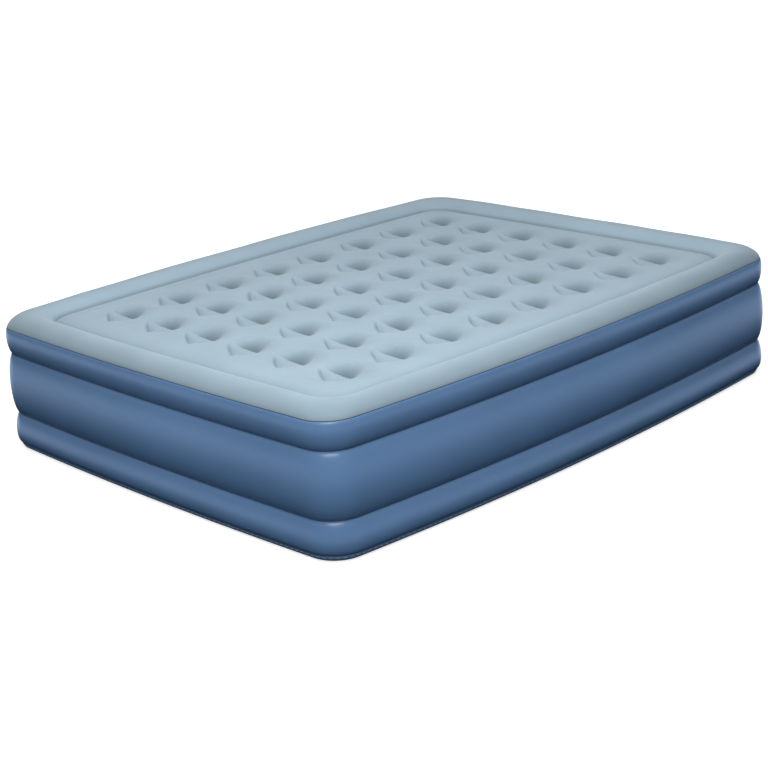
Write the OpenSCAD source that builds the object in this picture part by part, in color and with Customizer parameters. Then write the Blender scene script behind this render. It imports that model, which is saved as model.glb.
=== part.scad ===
// Raised double-height air mattress with a three-piece screw-in air valve.
//
// Millimetres, +Z up.  The origin is on the floor under the middle of the
// mattress; X runs across it, Y along it.  The valve is in the +Y end.

/* [Mattress] */
// Width across the middle, over the bulges of the side bands
mattress_w = 1596; // [1560:4:1640]
// Length along the middle, over the bulges of the end bands
mattress_l = 2030; // [1960:5:2080]
// Height of the raised rim above the floor
rim_z = 424; // [418:1:434]
// Height of the sleeping surface between its dimples
deck_z = 402; // [397:1:408]
// Depth of the groove between the rim and the sleeping surface, below the rim
groove_depth = 36; // [33:1:40]
// Thickness at which the sheets are drawn
film_t = 2; // [1.6:0.1:2.4]

/* [Plan outline] */
// How far the middle of each long side stands out beyond its ends
side_bow = 40; // [20:1:45]
// How far the middle of each short end stands out beyond its ends
end_bow = 16; // [10:1:24]
// Plan radius of the corners, at the top seam
corner_r = 100; // [90:1:130]
// Distance of the groove from the middle of the mattress, across it
groove_x = 657; // [648:1:664]
// Distance of the groove from the middle of the mattress, along it
groove_y = 880; // [870:1:888]
// Plan radius of the groove's corners
groove_r = 90; // [80:1:100]

/* [Side bands] */
// Height of the seam between the top sheet and the upper band
seam_z = 391; // [386:1:394]
// Height of the upper waist
upper_waist_z = 308; // [300:1:315]
// Height of the lower waist
lower_waist_z = 117; // [110:1:125]
// Height of the seam between the lower band and the base sheet
base_seam_z = 24; // [20:1:28]
// How far the waists pull in behind the seam line
waist_in = 8; // [5:1:12]
// How far the upper band's arc rises over its own chord
upper_bulge = 9; // [6:1:12]
// How far the middle band's arc rises over its own chord
middle_bulge = 20; // [16:1:24]
// How far the lower band's arc rises over its own chord
lower_bulge = 14; // [10:1:18]

/* [Air coils] */
// Air coils across the mattress
coils_across = 6; // [5:1:6]
// Air coils along the mattress
coils_along = 8; // [7:1:8]
// Spacing of the coils across the mattress
coil_pitch_x = 192; // [184:1:196]
// Spacing of the coils along the mattress
coil_pitch_y = 199; // [192:0.5:202]
// Outside radius of a coil tube
coil_r = 46; // [40:1:50]
// Radius of a dimple at the sleeping surface
dimple_r = 66; // [60:1:72]
// Depth of a dimple's far half, at its straight edge
dimple_depth = 36; // [30:1:40]
// Depth of the tongue that fills a dimple's near half, at its straight edge
tongue_depth = 12; // [8:1:14]

/* [Air valve] */
// Distance of the valve from the middle of the end, along X
valve_x = -430; // [-460:5:-300]
// Outside radius of the vinyl collar that is welded into the band
collar_r = 50; // [46:1:54]
// How far the collar's face stands out of the band's crest
collar_proud = 3; // [2:0.5:5]
// Radius of the hole that takes the pump's nozzle
nozzle_r = 11; // [9:0.5:12]
// Length of the neck around the nozzle hole
neck_h = 14; // [12:1:18]
// Advance of the valve body for each turn of its thread
thread_pitch = 4; // [3:0.5:5]
// Angle through which the cap is drawn open; 0 is shut
cap_open = 0; // [0:5:150]

/* [Hidden] */

eps = 0.01;             // overlap that joins two pieces of one solid
near_fn = 96;           // facets of a small round
profile_fn = 180;       // facets of the shallow arcs in a profile

cap_colour = "#3c4656";
vinyl_light = "#bccedb";
vinyl_blue = "#5b82a8";
vinyl_dark = "#22384f";
vinyl_clear = "#a9bfcf";
valve_grey = "#8d98a3";

// ---- plan outline: eight tangent arcs through the top seam ----

half_w = mattress_w / 2 - middle_bulge + waist_in;
half_l = mattress_l / 2 - middle_bulge + waist_in;

function bowed_radius(half_span, bow) = (half_span * half_span + bow * bow) / (2 * bow);

side_r = bowed_radius(half_l - corner_r, side_bow);
end_r = bowed_radius(half_w - corner_r, end_bow);
side_c = [half_w - side_r, 0];
end_c = [0, half_l - end_r];

// the corner's centre lies where it is inside both great arcs by its own radius
centres_gap = norm(end_c - side_c);
centres_dir = (end_c - side_c) / centres_gap;
side_reach = side_r - corner_r;
end_reach = end_r - corner_r;
corner_along = (side_reach * side_reach - end_reach * end_reach
                + centres_gap * centres_gap) / (2 * centres_gap);
corner_off = sqrt(side_reach * side_reach - corner_along * corner_along);
corner_c = side_c + corner_along * centres_dir
           + corner_off * [-centres_dir[1], centres_dir[0]];
side_half_angle = atan2(corner_c[1], corner_c[0] - side_c[0]);
end_start_angle = atan2(corner_c[1] - end_c[1], corner_c[0]);

side_steps = 5;         // points along half a long side
end_steps = 4;          // points along half a short side
corner_steps = 6;       // points round a corner

function arc_points(centre, radius, start, finish, steps) =
    [for (i = [0 : steps - 1])
        let (a = start + (finish - start) * i / steps)
        centre + radius * [cos(a), sin(a)]];

function line_points(from, to, steps) =
    [for (i = [0 : steps - 1]) from + (to - from) * i / steps];

// A quarter of an outline, and its last point on the Y axis, taken all round
function full_turn(quarter, last) =
    let (back = [for (i = [len(quarter) - 1 : -1 : 1]) [-quarter[i][0], quarter[i][1]]],
         half = concat(quarter, [last], back))
    concat(half, -half);

// The bowed outline, moved outward by a distance
function seam_line(out) =
    full_turn(concat(
        arc_points(side_c, side_r + out, 0, side_half_angle, side_steps),
        arc_points(corner_c, corner_r + out, side_half_angle, end_start_angle,
                   corner_steps),
        arc_points(end_c, end_r + out, end_start_angle, 90, end_steps)),
        [0, half_l + out]);

// The straight-sided outline of the groove, with points that match seam_line
function groove_line(out) =
    let (straight_x = groove_x - groove_r, straight_y = groove_y - groove_r)
    full_turn(concat(
        line_points([groove_x + out, 0], [groove_x + out, straight_y], side_steps),
        arc_points([straight_x, straight_y], groove_r + out, 0, 90, corner_steps),
        line_points([straight_x, groove_y + out], [0, groove_y + out], end_steps)),
        [0, groove_y + out]);

function at_height(loop, z) = [for (p = loop) [p[0], p[1], z]];

// The two triangles that join points j and j + 1 of one loop to the next loop
function quad(here, next, j, around) =
    let (j2 = (j + 1) % around)
    [[here + j, next + j2, here + j2], [here + j, next + j, next + j2]];

// A closed skin through a list of loops, the last of which joins the first
module skin(loops) {
    around = len(loops[0]);
    count = len(loops);
    polyhedron(
        points = [for (loop = loops) each loop],
        faces = [for (k = [0 : count - 1], j = [0 : around - 1])
            each quad(k * around, (k + 1) % count * around, j, around)]);
}

// The same, but with a flat cap over the first loop and over the last
module capped_skin(loops) {
    around = len(loops[0]);
    last = (len(loops) - 1) * around;
    polyhedron(
        points = [for (loop = loops) each loop],
        faces = concat(
            [[for (j = [0 : around - 1]) j]],
            [[for (j = [around - 1 : -1 : 0]) last + j]],
            [for (k = [0 : len(loops) - 2], j = [0 : around - 1])
                each quad(k * around, (k + 1) * around, j, around)]));
}

// A sheet whose outer face follows a profile of [outward, height] points
module band_skin(profile) {
    inner = [for (i = [len(profile) - 1 : -1 : 0]) profile[i] - [film_t, 0]];
    skin([for (p = concat(profile, inner)) at_height(seam_line(p[0]), p[1])]);
}

// A flat ring or plate with straight edges outside the outline
module outline_ring(outer, inner, z, thick) {
    translate([0, 0, z]) linear_extrude(thick) difference() {
        polygon(seam_line(outer));
        polygon(seam_line(inner));
    }
}

// ---- shapes that follow the groove ----

// A profile carried round the groove: its x is measured outward from the groove
module around_groove() {
    straight_x = groove_x - groove_r;
    straight_y = groove_y - groove_r;
    for (spin = [0, 180]) rotate([0, 0, spin]) {
        translate([groove_x, straight_y, 0]) rotate([90, 0, 0])
            linear_extrude(2 * straight_y) children();
        translate([-straight_x, groove_y, 0]) rotate([90, 0, 90])
            linear_extrude(2 * straight_x) children();
        for (side = [0, 1]) mirror([side, 0, 0])
            translate([straight_x, straight_y, 0])
                rotate_extrude(angle = 90, $fn = near_fn)
                    translate([groove_r, 0]) children();
    }
}

// A flat plate whose edge lies the given distance outside the groove
module groove_plate(edge, z, thick) {
    straight_x = groove_x - groove_r;
    straight_y = groove_y - groove_r;
    for (spin = [0, 180]) rotate([0, 0, spin])
        for (side = [0, 1]) mirror([side, 0, 0])
            translate([straight_x, straight_y, z])
                rotate_extrude(angle = 90, $fn = near_fn)
                    square([groove_r + edge, thick]);
    translate([-groove_x - edge, -straight_y, z])
        cube([2 * (groove_x + edge), 2 * straight_y, thick]);
    translate([-straight_x, -groove_y - edge, z])
        cube([2 * straight_x, 2 * (groove_y + edge), thick]);
}

// ---- profiles ----

band_steps = 6;         // facets up the height of a band

// An arc that bulges outward over the chord from low to high
function band_profile(low, high, bulge) =
    let (chord = norm(high - low),
         radius = (chord * chord / 4 + bulge * bulge) / (2 * bulge),
         outward = [high[1] - low[1], low[0] - high[0]] / chord,
         centre = (low + high) / 2 + (bulge - radius) * outward,
         reach = asin(chord / 2 / radius),
         lean = atan2(outward[1], outward[0]))
    [for (i = [0 : band_steps])
        let (a = lean - reach + 2 * reach * i / band_steps)
        centre + radius * [cos(a), sin(a)]];

// A film in an arc from its foot to its crest.  toward is 1 when the crest
// lies on the positive side of the foot, and -1 when it lies on the other.
module shoulder_profile(foot, crest, toward) {
    run = abs(crest[0] - foot[0]);
    rise = crest[1] - foot[1];
    radius = (run * run + rise * rise) / (2 * rise);
    intersection() {
        translate([crest[0], crest[1] - radius]) difference() {
            circle(radius, $fn = profile_fn);
            circle(radius - film_t, $fn = profile_fn);
        }
        translate([toward > 0 ? foot[0] : crest[0], foot[1] - film_t / 2])
            square([run, rise + film_t]);
    }
}

// ---- top sheet ----

groove_z = rim_z - groove_depth;
rim_foot_z = seam_z + film_t / 2;
groove_foot_z = groove_z - film_t / 2;
foot_share = 0.1;       // part of the rim's width that stays level with its foot
rim_steps = 8;          // facets across the rim
rim_fullness = 1.0;     // 1 is an ellipse, and less is squarer
deck_shoulder = 45;     // width of the sleeping surface's rounded edge
groove_floor = 3;       // half-width of the groove's flat floor

module top_sheet() {
    color(vinyl_light) difference() {
        union() {
            rim_cover();
            deck_cover();
            each_dimple() dimple_cup();
        }
        each_dimple() dimple_hollow();
    }
}

function fuller(v) = sign(v) * pow(abs(v), rim_fullness);

// The line that the rim arches over, from its foot on the seam to the groove
function rim_chord_z(share) =
    rim_foot_z + (groove_foot_z - rim_foot_z)
               * max(0, share - foot_share) / (1 - foot_share);

// The rim arches from the bowed seam to the straight groove.  Each point is
// [share of the way across, height]; shrink draws the sheet's inner face.
function rim_profile(shrink) =
    [for (i = [0 : rim_steps])
        let (a = 180 * i / rim_steps,
             share = (1 - shrink * fuller(cos(a))) / 2,
             rise = rim_z - rim_chord_z(0.5))
        [share, rim_chord_z(share) + rise * shrink * fuller(sin(a))]];

module rim_cover() {
    from = seam_line(0);
    to = groove_line(0);
    outer = rim_profile(1);
    inner = rim_profile(1 - 2 * film_t / (rim_z - groove_z));
    section = concat(outer, [for (i = [rim_steps : -1 : 0]) inner[i]]);
    skin([for (p = section) at_height(from + (to - from) * p[0], p[1])]);
}

module deck_cover() {
    around_groove()
        translate([-groove_floor, groove_z - film_t])
            square([2 * groove_floor, film_t]);
    around_groove()
        shoulder_profile([-groove_floor, groove_z],
                         [-groove_floor - deck_shoulder, deck_z], -1);
    groove_plate(-groove_floor - deck_shoulder, deck_z - film_t, film_t);
}

// The coil positions, with the origin on the sleeping surface
module each_dimple() {
    each_coil() translate([0, 0, deck_z]) children();
}

module each_coil() {
    for (i = [0 : coils_across - 1])
        for (j = [0 : coils_along - 1])
            translate([(i - (coils_across - 1) / 2) * coil_pitch_x,
                       (j - (coils_along - 1) / 2) * coil_pitch_y, 0])
                children();
}

function bowl_radius(depth) = (dimple_r * dimple_r + depth * depth) / (2 * depth);

// Right half of a bowl's section, grown by a margin and cut off at a height
module bowl_section(depth, grow, top) {
    radius = bowl_radius(depth);
    intersection() {
        translate([0, radius - depth]) circle(radius + grow, $fn = profile_fn);
        translate([0, -depth - 2 * film_t])
            square([2 * dimple_r, depth + 2 * film_t + top]);
    }
}

module half_bowl(depth, grow, top, start) {
    rotate([0, 0, start])
        rotate_extrude(angle = 180, $fn = near_fn)
            bowl_section(depth, grow, top);
}

// The sheet below a dimple: a deep far half, a shallow near half, and the
// upright strip between them that a coil's tab is welded to
module dimple_cup() {
    half_bowl(dimple_depth, film_t, -film_t / 2, 0);
    half_bowl(tongue_depth, film_t, -film_t / 2, 180);
    rotate([90, 0, 0]) linear_extrude(film_t) {
        bowl_section(dimple_depth, film_t, -film_t / 2);
        mirror([1, 0]) bowl_section(dimple_depth, film_t, -film_t / 2);
    }
}

module dimple_hollow() {
    half_bowl(dimple_depth, 0, film_t, 0);
    half_bowl(tongue_depth, 0, film_t, 180);
}

// ---- seams and side bands ----

seam_w = 3;             // half-width of a welded seam's flange
half_film = film_t / 2;

module top_seam() {
    color(vinyl_blue) outline_ring(seam_w, -seam_w, seam_z - half_film, film_t);
}

module upper_band() {
    color(vinyl_blue)
        band_skin(band_profile([-waist_in, upper_waist_z + half_film],
                               [0, seam_z - half_film], upper_bulge));
}

module middle_band() {
    color(vinyl_blue) difference() {
        band_skin(band_profile([-waist_in, lower_waist_z + half_film],
                               [-waist_in, upper_waist_z - half_film],
                               middle_bulge));
        at_valve() translate([0, 0, -2 * collar_depth])
            cylinder(h = 3 * collar_depth, r = collar_r, $fn = near_fn);
    }
}

module lower_band() {
    color(vinyl_blue)
        band_skin(band_profile([0, base_seam_z + half_film],
                               [-waist_in, lower_waist_z - half_film],
                               lower_bulge));
}

module base_seam() {
    color(vinyl_dark)
        outline_ring(seam_w, -seam_w, base_seam_z - half_film, film_t);
}

// The base sheet turns up round the bottom edge to meet the lower band
module base_sheet() {
    turn_r = base_seam_z - half_film;
    turn_steps = 4;
    edge = [for (i = [0 : turn_steps])
        let (a = 90 * i / turn_steps) [sin(a), 1 - cos(a)]];
    outer = [for (e = edge) turn_r * e - [turn_r, 0]];
    inner = [for (i = [turn_steps : -1 : 0])
        (turn_r - film_t) * edge[i] + [-turn_r, film_t]];
    color(vinyl_dark)
        capped_skin([for (p = concat(outer, inner)) at_height(seam_line(p[0]), p[1])]);
}

// ---- what the air chambers hold ----

web_edge = 0.5;         // how far a waist web stops short of the notch

module waist_web(z) {
    color(vinyl_clear) translate([0, 0, z - half_film])
        linear_extrude(film_t) difference() {
            polygon(seam_line(-waist_in - web_edge));
            square([2 * groove_x + film_t, 2 * groove_y + film_t], center = true);
        }
}

// Upright walls under the groove, open at the corners so that air can pass
module rim_walls() {
    wall_h = groove_z - 2 * film_t;
    long_wall = groove_y - groove_r;
    short_wall = groove_x - groove_r;
    color(vinyl_clear) {
        for (side = [-1, 1])
            translate([side * groove_x - film_t / 2, -long_wall, film_t])
                cube([film_t, 2 * long_wall, wall_h]);
        for (side = [-1, 1])
            translate([-short_wall, side * groove_y - film_t / 2, film_t])
                cube([2 * short_wall, film_t, wall_h]);
    }
}

tab_drop = 4;           // how far a tab hangs below its dimple
coil_top_z = deck_z - dimple_depth - film_t - tab_drop;

module air_coils() {
    color(vinyl_clear) each_coil()
        translate([0, 0, 2 * film_t]) difference() {
            cylinder(h = coil_top_z - 2 * film_t, r = coil_r, $fn = near_fn);
            translate([0, 0, -1])
                cylinder(h = coil_top_z, r = coil_r - film_t, $fn = near_fn);
        }
}

// The upper tail of each coil, welded behind the straight edge of its dimple
module coil_top_tabs() {
    tab_top = deck_z - tongue_depth - film_t - tab_drop;
    color(vinyl_clear) each_coil()
        translate([-coil_r + film_t, -2 * film_t, coil_top_z])
            cube([2 * (coil_r - film_t), film_t, tab_top - coil_top_z]);
}

module coil_base_rings() {
    flange = 10;
    color(vinyl_clear) each_coil()
        translate([0, 0, film_t]) difference() {
            cylinder(h = film_t, r = coil_r + flange, $fn = near_fn);
            translate([0, 0, -1])
                cylinder(h = film_t + 2, r = coil_r - flange, $fn = near_fn);
        }
}

// ---- air valve: its own +Z points out of the mattress, along +Y ----

valve_z = (lower_waist_z + upper_waist_z) / 2;
// the collar's face stands square to Y, just clear of the bowed band
valve_y = end_c[1] + sqrt(end_r * end_r - valve_x * valve_x)
          + middle_bulge - waist_in + collar_proud;
collar_depth = 18;      // length of the collar's wall into the mattress
collar_t = 4;           // thickness of the collar
socket_r = 33;          // outside of the threaded socket
socket_depth = 22;      // length of the socket behind its flange
flange_r = 37;          // the socket's own flange
flange_t = 2;
thread_r = 28;          // bore of the socket
thread_gap = 0.1;       // radial clearance of the valve body in it
gasket_t = 1.6;
body_wall = 2.5;
body_flange_t = 6;
body_flange_r = 34;
tether_r = 29.5;        // bottom of the groove that the tether's ring turns in
tether_t = 2;
tether_gap = 0.1;
neck_t = 3;
seat_t = 2.5;           // web between the neck and the valve body's wall
cap_hinge_out = 29;     // distance of the cap's hinge from the valve's axis
cap_hinge_up = 5;       // its height over the body's flange
hinge_bead_r = 1.6;
hinge_gap = 0.05;
cap_gap = 1.4;          // clearance between the neck and the cap's skirt
cap_wall = 2.4;
seal_t = 1.5;

body_base = flange_t + gasket_t;
body_top = body_base + body_flange_t;
neck_top = body_top + neck_h - seat_t;

module at_valve() {
    translate([valve_x, valve_y, valve_z]) rotate([-90, 0, 0]) children();
}

module tube(r_out, r_in, z0, z1) {
    translate([0, 0, z0]) difference() {
        cylinder(h = z1 - z0, r = r_out, $fn = near_fn);
        translate([0, 0, -1]) cylinder(h = z1 - z0 + 2, r = r_in, $fn = near_fn);
    }
}

module valve_collar() {
    color(vinyl_blue) at_valve() difference() {
        union() {
            tube(collar_r, collar_r - collar_t, -collar_depth, -collar_t + eps);
            tube(collar_r, socket_r, -collar_t, 0);
        }
        tether_hole(-collar_t - 1, tether_peg_r + tether_gap);
    }
}

module valve_socket() {
    color(valve_grey) at_valve() {
        tube(socket_r, thread_r, -socket_depth, eps);
        tube(flange_r, thread_r, 0, flange_t);
    }
}

module socket_gasket() {
    color(vinyl_dark) at_valve()
        tube(socket_r, thread_r + thread_gap, flange_t, body_base);
}

tether_peg_r = 2;
tether_peg_out = 43;    // distance of the tether's anchor from the valve's axis
tether_pad_r = 4.5;
tether_ring_r = body_flange_r + 1.5;
tether_z = body_base + 2;

// The hole in the collar that the tether's peg passes through
module tether_hole(z0, r) {
    rotate([0, 0, 90]) translate([tether_peg_out, 0, z0])
        cylinder(h = collar_t + 2, r = r, $fn = near_fn);
}

// A ring round the valve body with a tail that is pegged to the collar
module body_tether() {
    color(vinyl_blue) at_valve() {
        difference() {
            union() {
                tube(tether_ring_r, tether_r + tether_gap, tether_z, tether_z + tether_t);
                rotate([0, 0, 90])
                    translate([tether_r + 2, -tether_pad_r, tether_z])
                        cube([tether_peg_out - tether_r - 2, 2 * tether_pad_r, tether_t]);
                rotate([0, 0, 90]) translate([tether_peg_out, 0, tether_z])
                    cylinder(h = tether_t, r = tether_pad_r, $fn = near_fn);
            }
            translate([0, 0, tether_z - 1])
                cylinder(h = tether_t + 2, r = tether_r + tether_gap, $fn = near_fn);
        }
        rotate([0, 0, 90]) translate([tether_peg_out, 0, -collar_t])
            cylinder(h = tether_z + collar_t + eps, r = tether_peg_r, $fn = near_fn);
    }
}

flap_r = nozzle_r + 2;
flap_t = 1.2;
flap_seat_gap = 0.1;    // clearance between the shut flap and its seat
flap_hinge_out = flap_r + 3;
flap_bead_r = 1.4;
seat_z = body_top - seat_t;
flap_z = seat_z - flap_t - flap_seat_gap;
flap_line_z = flap_z - flap_t + flap_seat_gap;
wall_end = 4;           // how far the body's wall stops short of the socket's end

module valve_body() {
    wall_r = thread_r - thread_gap;
    groove_low = tether_z - tether_gap;
    groove_high = tether_z + tether_t + tether_gap;
    color(valve_grey) at_valve() {
        difference() {
            union() {
                tube(wall_r, wall_r - body_wall, wall_end - socket_depth,
                     body_base + eps);
                tube(body_flange_r, wall_r - body_wall, body_base, groove_low);
                tube(tether_r, wall_r - body_wall, groove_low - eps, groove_high + eps);
                tube(body_flange_r, wall_r - body_wall, groove_high, body_top);
                tube(wall_r, nozzle_r, seat_z, body_top);
                tube(nozzle_r + neck_t, nozzle_r, seat_z, neck_top);
                cap_hinge_lugs();
            }
            cap_hinge_line(hinge_bead_r + hinge_gap, cap_lug_w * 4);
            grip_notches();
        }
    }
}

// Finger notches round the flange, for unscrewing the valve body
module grip_notches() {
    notch_r = 2.4;
    notch_out = body_flange_r + 1;
    notches = 16;
    for (i = [0.5 : notches])
        rotate([0, 0, i * 360 / notches])
            translate([notch_out, 0, tether_z + tether_t - 1])
                cylinder(h = body_flange_t, r = notch_r, $fn = near_fn);
}

cap_lug_w = 4;          // width of each of the two lugs
cap_arm_w = 8;          // width of the cap's arm between them
lug_side_gap = 0.3;

module cap_hinge_line(r, length) {
    translate([0, cap_hinge_out, body_top + cap_hinge_up])
        rotate([0, 90, 0])
            cylinder(h = length, r = r, center = true, $fn = near_fn);
}

module cap_hinge_lugs() {
    lug_r = 3.4;            // round end of a lug
    for (side = [-1, 1])
        translate([side * (cap_arm_w / 2 + lug_side_gap + cap_lug_w / 2), 0, 0]) {
            translate([0, cap_hinge_out, body_top + cap_hinge_up])
                rotate([0, 90, 0])
                    cylinder(h = cap_lug_w, r = lug_r, center = true, $fn = near_fn);
            translate([-cap_lug_w / 2, cap_hinge_out - lug_r, body_top - 1])
                cube([cap_lug_w, 2 * lug_r, cap_hinge_up + 1]);
        }
}

// The bar under the seat that holds the bead along the flap's edge
module flap_keeper() {
    keeper_l = 16;
    keeper_w = 6;
    keeper_h = 5;
    keeper_lip = 1.2;       // how far the bar reaches past the bead's middle
    color(vinyl_dark) at_valve() difference() {
        translate([-keeper_l / 2, keeper_lip - flap_hinge_out - keeper_w,
                   seat_z - keeper_h])
            cube([keeper_l, keeper_w, keeper_h]);
        flap_line(flap_bead_r + hinge_gap, keeper_l + 2);
        translate([-keeper_l / 2 - 1, -flap_hinge_out, seat_z - keeper_h - 1])
            cube([keeper_l + 2, keeper_w, keeper_h + 2]);
    }
}

module flap_line(r, length) {
    translate([0, -flap_hinge_out, flap_line_z]) rotate([0, 90, 0])
        cylinder(h = length, r = r, center = true, $fn = near_fn);
}

module one_way_flap() {
    arm_w = 12;
    color(vinyl_dark) at_valve() {
        translate([0, 0, flap_z]) cylinder(h = flap_t, r = flap_r, $fn = near_fn);
        flap_line(flap_bead_r, arm_w);
        translate([-arm_w / 2, -flap_hinge_out, flap_z])
            cube([arm_w, flap_hinge_out - flap_r / 2, flap_t]);
    }
}

skirt_r = nozzle_r + neck_t + cap_gap;
skirt_lift = 0.5;       // clearance under the cap's skirt
pull_l = 6;             // how far the cap's finger tab stands out
cap_top = neck_top + seal_t + cap_wall;

module shut_or_open_cap() {
    translate([0, cap_hinge_out, body_top + cap_hinge_up])
        rotate([-cap_open, 0, 0])
            translate([0, -cap_hinge_out, -body_top - cap_hinge_up])
                children();
}

module valve_cap() {
    color(cap_colour) at_valve() shut_or_open_cap() {
        tube(skirt_r + cap_wall, skirt_r, body_top + skirt_lift,
             cap_top - cap_wall + eps);
        translate([0, 0, cap_top - cap_wall])
            cylinder(h = cap_wall, r = skirt_r + cap_wall, $fn = near_fn);
        cap_hinge_line(hinge_bead_r, cap_arm_w + 2 * cap_lug_w);
        translate([-cap_arm_w / 2, skirt_r + 1, body_top + cap_hinge_up - hinge_bead_r])
            cube([cap_arm_w, cap_hinge_out - skirt_r - 1, 2 * hinge_bead_r]);
        translate([-cap_arm_w / 2, -skirt_r - cap_wall - pull_l, cap_top - cap_wall])
            cube([cap_arm_w, pull_l + cap_wall, cap_wall]);
    }
}

module cap_seal() {
    color(vinyl_light) at_valve() shut_or_open_cap()
        translate([0, 0, neck_top])
            cylinder(h = seal_t, r = skirt_r, $fn = near_fn);
}

top_sheet();
top_seam();
upper_band();
middle_band();
lower_band();
base_sheet();
base_seam();
waist_web(upper_waist_z);  // upper_waist_web
waist_web(lower_waist_z);  // lower_waist_web
rim_walls();
air_coils();
coil_top_tabs();
coil_base_rings();
valve_collar();
valve_socket();
socket_gasket();
body_tether();
valve_body();
flap_keeper();
one_way_flap();
valve_cap();
cap_seal();
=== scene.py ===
"""Looks for the raised air mattress: flocked top, bulging vinyl sides, welds and air valve.

Metres, in the part's own frame: X across the bed, Y along it, Z up from the floor.
The big soft sheets are rebuilt here as smooth inflated surfaces between the welds that
the CAD part fixes. The rigid valve parts keep their CAD shapes and get materials only.
"""

import math

import bpy
import numpy as np
from mathutils import Matrix, Vector


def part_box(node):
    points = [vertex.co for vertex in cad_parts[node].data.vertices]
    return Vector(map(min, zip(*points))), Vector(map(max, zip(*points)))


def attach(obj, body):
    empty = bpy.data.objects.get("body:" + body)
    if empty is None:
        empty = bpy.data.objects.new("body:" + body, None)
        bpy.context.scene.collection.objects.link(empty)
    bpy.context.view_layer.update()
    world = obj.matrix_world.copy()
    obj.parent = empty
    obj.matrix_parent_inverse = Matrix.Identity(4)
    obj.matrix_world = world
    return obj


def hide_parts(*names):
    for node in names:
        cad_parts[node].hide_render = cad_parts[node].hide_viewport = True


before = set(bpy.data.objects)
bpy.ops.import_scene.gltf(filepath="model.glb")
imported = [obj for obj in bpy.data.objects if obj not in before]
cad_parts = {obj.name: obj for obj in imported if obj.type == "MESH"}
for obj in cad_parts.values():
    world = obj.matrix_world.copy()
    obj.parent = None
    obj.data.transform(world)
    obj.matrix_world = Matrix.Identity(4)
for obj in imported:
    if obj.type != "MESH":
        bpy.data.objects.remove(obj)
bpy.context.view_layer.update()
rng = np.random.default_rng(11)

MM = 0.001


# ---- levels and sizes that the CAD part fixes ----

def middle_z(node):
    low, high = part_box(node)
    return (low.z + high.z) / 2


cover_low, cover_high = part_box("top_sheet")
coils_low, coils_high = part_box("air_coils")
collar_low, collar_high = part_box("valve_collar")

HALF_W = cover_high.x           # the outline through the top seam, at mid-length
HALF_L = cover_high.y
RIM_Z = cover_high.z
SEAM_Z = middle_z("top_seam")
UPPER_WAIST_Z = middle_z("upper_waist_web")
LOWER_WAIST_Z = middle_z("lower_waist_web")
BASE_SEAM_Z = middle_z("base_seam")

COIL_R = 46 * MM
COLUMNS, ROWS = 6, 8
PITCH_X = (coils_high.x - COIL_R) / (COLUMNS / 2 - 0.5)
PITCH_Y = (coils_high.y - COIL_R) / (ROWS / 2 - 0.5)

VALVE_X = (collar_low.x + collar_high.x) / 2
VALVE_Z = (collar_low.z + collar_high.z) / 2
COLLAR_FACE_Y = collar_high.y
COLLAR_R = (collar_high.x - collar_low.x) / 2

# ---- sizes of the soft surfaces ----

DECK_Z = RIM_Z - 22 * MM        # sleeping surface between its dimples
GROOVE_Z = RIM_Z - 37 * MM      # bottom of the groove inside the rim
SHOULDER = 60 * MM              # rounded edge of the sleeping surface
WAIST_IN = 8 * MM               # the waists lie this far inside the seam line
CORNER_R = 100 * MM
SIDE_BOW = 40 * MM
END_BOW = 16 * MM
GROOVE_HALF_W = 666 * MM
GROOVE_HALF_L = 884 * MM
GROOVE_CORNER_R = 90 * MM
GROOVE_SIDE_BOW = 20 * MM
GROOVE_END_BOW = 8 * MM


# ---- plan outlines ----

class Outline:
    """A closed line of eight tangent arcs. A point is found by its share of the way
    from the middle of a side (or of an end) to the middle of the corner."""

    SAMPLES = 1500

    def __init__(self, half_w, half_l, corner_r, side_bow, end_bow):
        side_r = self.bowed_radius(half_l - corner_r, side_bow)
        end_r = self.bowed_radius(half_w - corner_r, end_bow)
        side_c = np.array([half_w - side_r, 0.0])
        end_c = np.array([0.0, half_l - end_r])
        corner_c = self.corner_centre(side_c, end_c, side_r - corner_r, end_r - corner_r)
        start = math.atan2(corner_c[1], corner_c[0] - side_c[0])
        finish = math.atan2(corner_c[1] - end_c[1], corner_c[0])
        middle = (start + finish) / 2
        side = np.concatenate([self.arc(side_c, side_r, 0, start),
                               self.arc(corner_c, corner_r, start, middle)[1:]])
        end = np.concatenate([self.arc(corner_c, corner_r, finish, middle)[::-1],
                              self.arc(end_c, end_r, finish, math.pi / 2)[1:]])
        self.side = self.with_length(side)
        self.end = self.with_length(end[::-1])

    @staticmethod
    def bowed_radius(half_span, bow):
        return (half_span ** 2 + bow ** 2) / (2 * bow)

    @staticmethod
    def corner_centre(side_c, end_c, side_reach, end_reach):
        gap = np.linalg.norm(end_c - side_c)
        along = (end_c - side_c) / gap
        run = (side_reach ** 2 - end_reach ** 2 + gap ** 2) / (2 * gap)
        off = math.sqrt(side_reach ** 2 - run ** 2)
        return side_c + run * along + off * np.array([-along[1], along[0]])

    @classmethod
    def arc(cls, centre, radius, start, finish):
        angles = np.linspace(start, finish, cls.SAMPLES)
        return centre + radius * np.stack([np.cos(angles), np.sin(angles)], axis=1)

    @staticmethod
    def with_length(points):
        steps = np.linalg.norm(np.diff(points, axis=0), axis=1)
        return np.concatenate([[0.0], np.cumsum(steps)]), points

    def points(self, places):
        """The points at places, an array of (on a side, share, sign of x, sign of y)."""
        found = np.empty((len(places), 2))
        for on_side, (length, line) in ((1, self.side), (0, self.end)):
            chosen = places[:, 0] == on_side
            reach = places[chosen, 1] * length[-1]
            for axis in (0, 1):
                found[chosen, axis] = np.interp(reach, length, line[:, axis])
        return found * places[:, 2:4]


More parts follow.
